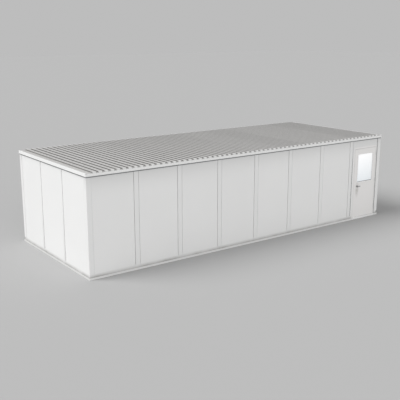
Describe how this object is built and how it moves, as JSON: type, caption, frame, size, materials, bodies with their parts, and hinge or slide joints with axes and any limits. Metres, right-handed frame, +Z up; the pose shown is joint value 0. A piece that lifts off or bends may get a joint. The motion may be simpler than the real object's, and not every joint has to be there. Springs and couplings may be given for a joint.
{
  "type": "in-plant office",
  "caption": "Long flat-roofed modular room of white slab panels between steel posts, with a ribbed metal roof and a glazed hinged door at one end of its front.",
  "frame": {"origin": "middle of the plan, on the floor", "axes": "+X along the long front wall, to the right seen from outside; the front wall with the door faces -Y; +Z up"},
  "size_m": [9.904, 3.838, 2.495],
  "materials": {
    "panel_white": "matte off-white facing",
    "steel_white": "satin off-white powder coat",
    "steel_grey": "satin dark grey",
    "deck_galvanised": "dull galvanised",
    "closure_white": "matte off-white",
    "door_white": "satin off-white paint",
    "glass_clear": "pale, lightly frosted",
    "satin_metal": "dark satin",
    "hinge_steel": "satin off-white paint"
  },
  "bodies": {
    "building": {"back_floor_track": "steel_white", "back_kick_rails": "steel_white", "back_left_post": "steel_white", "back_panels": "panel_white", "back_right_post": "steel_white", "back_roof_trim": "steel_white", "back_studs": "steel_white", "door_filler": "panel_white", "door_head": "door_white", "door_header_panel": "panel_white", "door_jamb_left": "door_white", "door_jamb_right": "door_white", "door_sill": "steel_white", "end_head_tracks": "steel_grey", "end_kick_rails": "steel_white", "end_studs": "steel_white", "front_floor_track": "steel_white", "front_kick_rails": "steel_white", "front_left_post": "steel_white", "front_panel_1": "panel_white", "front_panel_2": "panel_white", "front_panel_3": "panel_white", "front_panel_4": "panel_white", "front_panel_5": "panel_white", "front_panel_6": "panel_white", "front_panel_7": "panel_white", "front_right_post": "steel_white", "front_roof_trim": "steel_white", "front_studs": "steel_white", "hinge_frame_halves": "hinge_steel", "left_floor_track": "steel_white", "left_panels": "panel_white", "left_roof_trim": "steel_white", "long_head_tracks": "steel_grey", "rib_closures": "closure_white", "right_floor_track": "steel_white", "right_panels": "panel_white", "right_roof_trim": "steel_white", "roof_deck": "deck_galvanised"},
    "door": {"door_leaf": "door_white", "door_light_frame": "door_white", "door_glass": "glass_clear", "lever_roses": "satin_metal", "hinge_door_halves": "hinge_steel"},
    "lever": {"door_lever": "satin_metal"}
  },
  "joints": [
    {"name": "door_swing", "type": "hinge", "parent": "building", "child": "door", "pos_m": [4.76, -1.887, 0], "axis": [0, 0, 1], "range_deg": [0, 170]},
    {"name": "lever_turn", "type": "hinge", "parent": "door", "child": "lever", "pos_m": [3.988, -1.8555, 1.006], "axis": [0, 1, 0], "range_deg": [0, 50], "stiffness_Nm_per_rad": 1.5, "springref_deg": -28.65}
  ]
}
